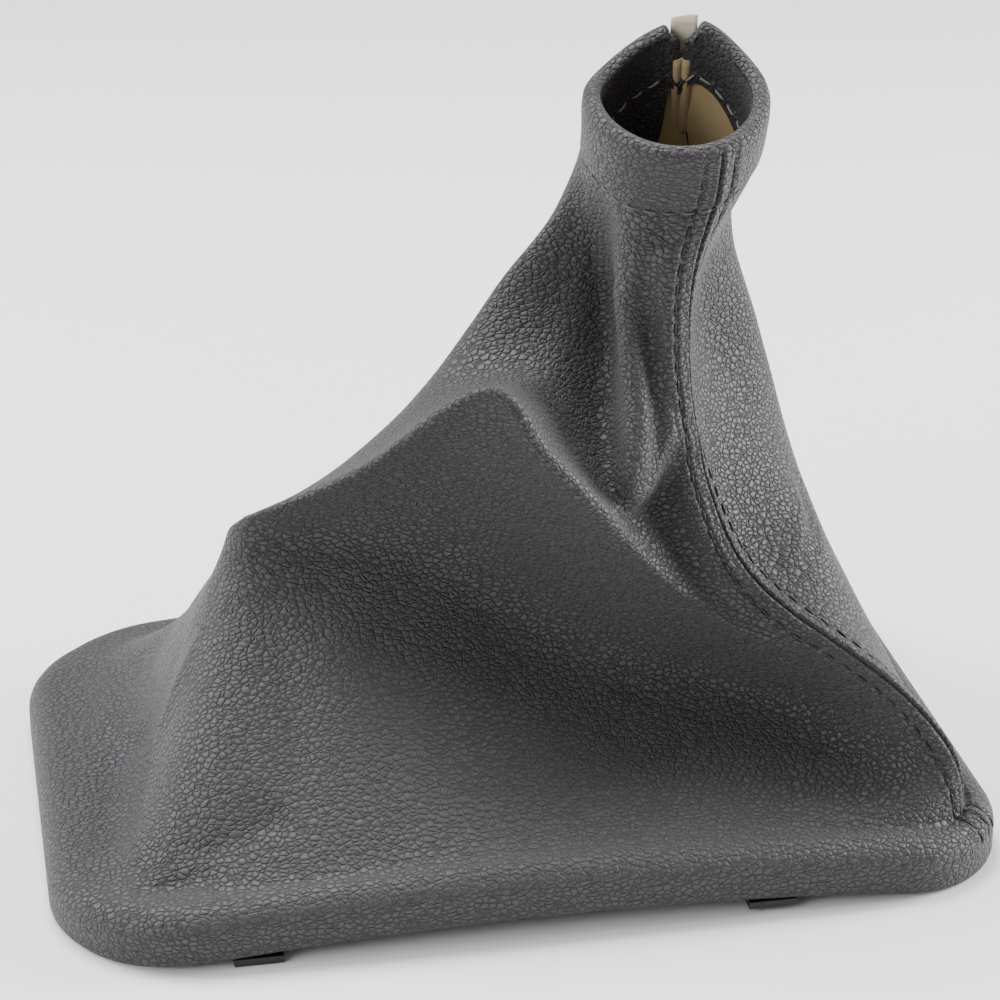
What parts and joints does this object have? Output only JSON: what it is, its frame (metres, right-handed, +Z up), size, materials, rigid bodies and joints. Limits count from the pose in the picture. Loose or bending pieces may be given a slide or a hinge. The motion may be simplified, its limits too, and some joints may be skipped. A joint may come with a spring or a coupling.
{
  "type": "gear lever gaiter",
  "caption": "Leather gaiter for a gear lever: a folded hood sewn from panels, with a hemmed collar open at the back, drawn over an oblong clip-in frame.",
  "frame": {"origin": "on the surface that the frame stands on, under the middle of the frame", "axes": "+X along the frame, towards the side where the collar stands; +Y from the edge nearest the viewer towards the edge behind the collar's slit; +Z up"},
  "size_m": [0.2, 0.136, 0.1662],
  "materials": {
    "plastic": "black moulded plastic with a dull skin, all but the clip hooks hidden under the leather",
    "leather": "dark grey pebble-grained leather with a soft sheen outside and a tan suede flesh side inside"
  },
  "bodies": {
    "root": {"base_frame": "plastic", "main_panel": "leather", "side_panel": "leather"}
  },
  "joints": []
}
